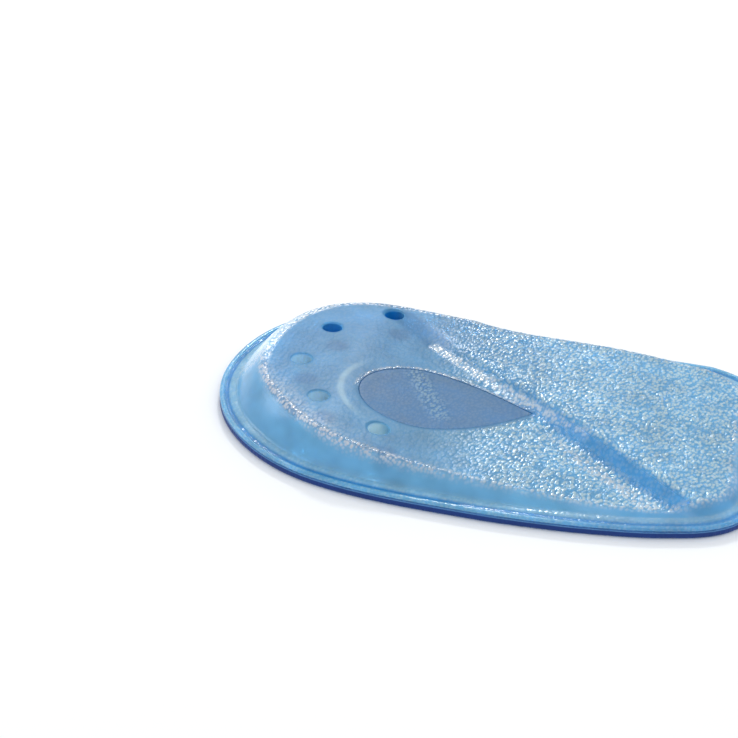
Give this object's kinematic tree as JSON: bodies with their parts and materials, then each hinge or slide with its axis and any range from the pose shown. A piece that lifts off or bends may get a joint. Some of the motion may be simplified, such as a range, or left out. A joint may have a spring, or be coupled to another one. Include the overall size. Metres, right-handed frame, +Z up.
{
  "type": "heel cup",
  "caption": "Silicone gel heel cup with a textile cover, shown base up, with a teardrop soft insert, round relief holes and a sloping arch pad.",
  "frame": {"origin": "centre of the plan at the floor that the cup lies on, foot side down", "axes": "+X towards the front edge, +Y towards the arch side, +Z up out of the base"},
  "size_m": [0.108, 0.071, 0.0088],
  "materials": {
    "gel": "translucent light blue silicone, finely pebbled base, glossy clear side wall",
    "soft_gel": "softer translucent silicone, smooth and slightly glossy",
    "textile": "fine matte knit in medium blue"
  },
  "bodies": {
    "root": {"gel_body": "gel", "soft_insert": "soft_gel", "top_cover": "textile"}
  },
  "joints": []
}
